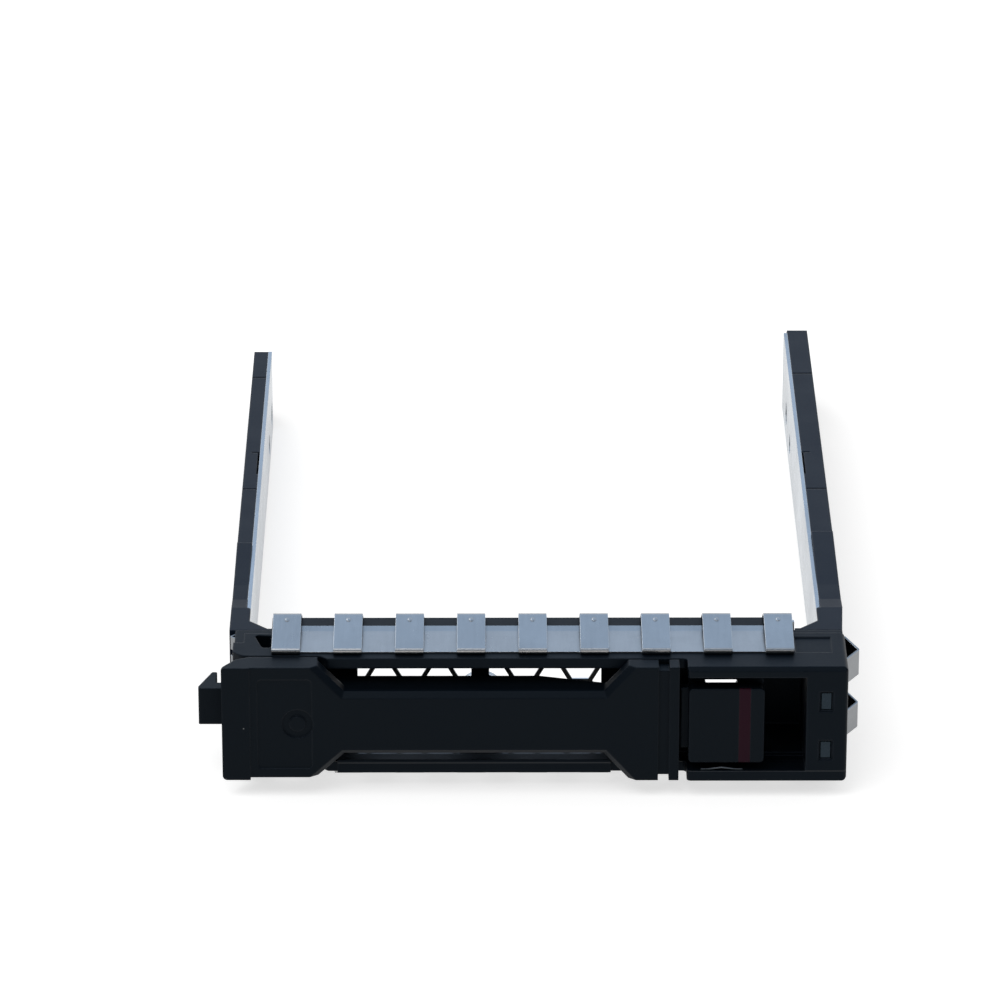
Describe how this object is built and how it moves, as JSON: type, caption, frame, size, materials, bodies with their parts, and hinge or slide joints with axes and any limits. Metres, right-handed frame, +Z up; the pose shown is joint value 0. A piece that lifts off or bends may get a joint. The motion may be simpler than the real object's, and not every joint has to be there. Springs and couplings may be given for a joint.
{
  "type": "hot swap drive caddy",
  "caption": "Tray for a 2.5 inch drive: steel arms on plastic runners behind a vented front with a swinging ejector lever, sliding latch and grounding springs.",
  "frame": {"origin": "under the middle of the whole tray, at the height of the lower finger crests that it rests on", "axes": "+X to the right across the bezel, +Y from the bezel back along the runners, +Z up"},
  "size_m": [0.0808, 0.115, 0.0187],
  "materials": {
    "black_plastic": "fine moulded texture",
    "lever_plastic": "fine moulded texture",
    "satin_steel": "zinc coated sheet, satin",
    "spring_steel": "rolled spring steel",
    "clear_plastic": "clear moulding",
    "maroon_plastic": "moulded"
  },
  "bodies": {
    "carrier": {"front_frame": "black_plastic", "vent_plate": "satin_steel", "steel_carrier": "satin_steel", "left_rail": "black_plastic", "right_rail": "black_plastic", "top_gasket": "spring_steel", "bottom_gasket": "spring_steel", "left_side_spring": "spring_steel", "right_side_spring": "spring_steel", "lever_pin": "spring_steel", "lever_spring": "spring_steel", "latch_spring": "spring_steel", "latch_clip": "spring_steel", "light_pipe_upper": "clear_plastic", "light_pipe_lower": "clear_plastic"},
    "lever": {"lever": "lever_plastic"},
    "latch": {"latch_button": "lever_plastic", "latch_stripe": "maroon_plastic"}
  },
  "joints": [
    {"name": "lever_swing", "type": "hinge", "parent": "carrier", "child": "lever", "pos_m": [-0.03402, -0.05195, 0.00935], "axis": [0, 0, -1], "range_deg": [0, 45], "deforming": ["lever_spring"]},
    {"name": "latch_slide", "type": "slide", "parent": "carrier", "child": "latch", "axis": [1, 0, 0], "range_m": [0, 0.0035], "stiffness_N_per_m": 300, "springref_m": -0.002, "deforming": ["latch_spring"]}
  ]
}
